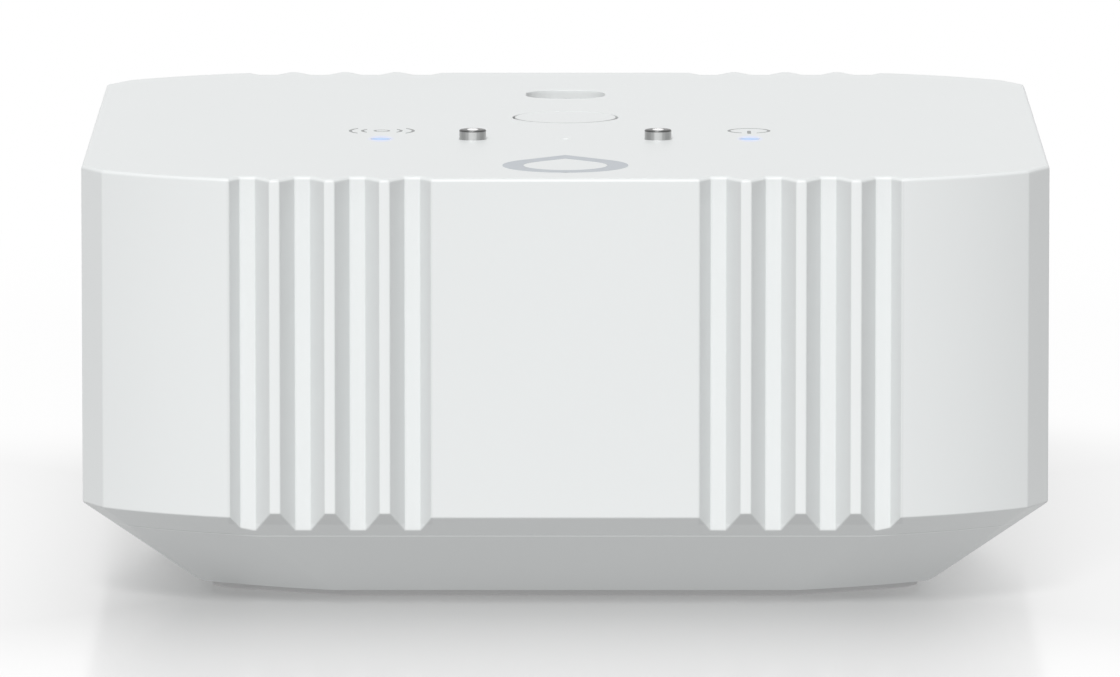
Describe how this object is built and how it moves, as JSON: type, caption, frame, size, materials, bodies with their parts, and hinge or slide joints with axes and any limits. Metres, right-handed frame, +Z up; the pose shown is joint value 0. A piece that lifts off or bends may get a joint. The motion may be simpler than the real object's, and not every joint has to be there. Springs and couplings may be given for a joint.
{
  "type": "environmental sensor",
  "caption": "Square white wireless sensor case with ribbed front and back, tapered underside, contact pins, status lights, push button and sensing port.",
  "frame": {"origin": "middle of the foot pad's underside, which is the bottom centre of the bounding box", "axes": "+Z up out of the top face; the ribbed front, nearer the contact pins, faces -Y; +X is to the right when the front is looked at"},
  "size_m": [0.06, 0.0608, 0.0277],
  "materials": {
    "case_plastic": "fine matt white, slightly cool",
    "button_plastic": "fine matt white",
    "foot_rubber": "mid grey, matt",
    "seal_rubber": "black silicone",
    "seal_foam": "dark closed-cell foam",
    "screw_steel": "zinc plated",
    "pin_steel": "turned and polished stainless steel",
    "light_pipe": "clear acrylic, lit blue",
    "led_body": "lit blue",
    "board": "green solder mask",
    "chip_plastic": "moulded black",
    "chip_metal": "metal lid",
    "tinned_sheet": "tinned sheet",
    "contact_spring": "nickel plated spring strip",
    "capacitor_can": "aluminium can",
    "cell_can": "sleeved lithium cell, plain",
    "cell_terminal": "nickel plated",
    "holder_plastic": "black glass-filled nylon",
    "membrane": "white porous membrane",
    "switch_plastic": "black",
    "plunger_plastic": "cream"
  },
  "bodies": {
    "housing": {"top_shell": "case_plastic", "base_cover": "case_plastic", "foot_pad": "foot_rubber", "contact_pin_left": "pin_steel", "contact_pin_right": "pin_steel", "case_gasket": "seal_rubber", "case_screws": "screw_steel", "main_board": "board", "board_screws": "screw_steel", "switch_body": "switch_plastic", "pin_washers": "seal_rubber", "status_leds": "led_body", "vent_membrane": "membrane", "vent_seal": "seal_foam", "humidity_sensor": "chip_metal", "radio_shield": "tinned_sheet", "controller_chip": "chip_plastic", "board_chips": "chip_plastic", "antenna": "tinned_sheet", "reservoir_capacitor": "capacitor_can", "battery_cell": "cell_can", "battery_terminal": "cell_terminal", "battery_holder": "holder_plastic", "positive_contact": "contact_spring", "negative_contact": "contact_spring", "light_pipe_left": "light_pipe", "light_pipe_right": "light_pipe"},
    "button": {"button_cap": "button_plastic", "switch_plunger": "plunger_plastic"}
  },
  "joints": [
    {"name": "button_press", "type": "slide", "parent": "housing", "child": "button", "axis": [0, 0, -1], "range_m": [0, 0.00025], "stiffness_N_per_m": 300}
  ]
}
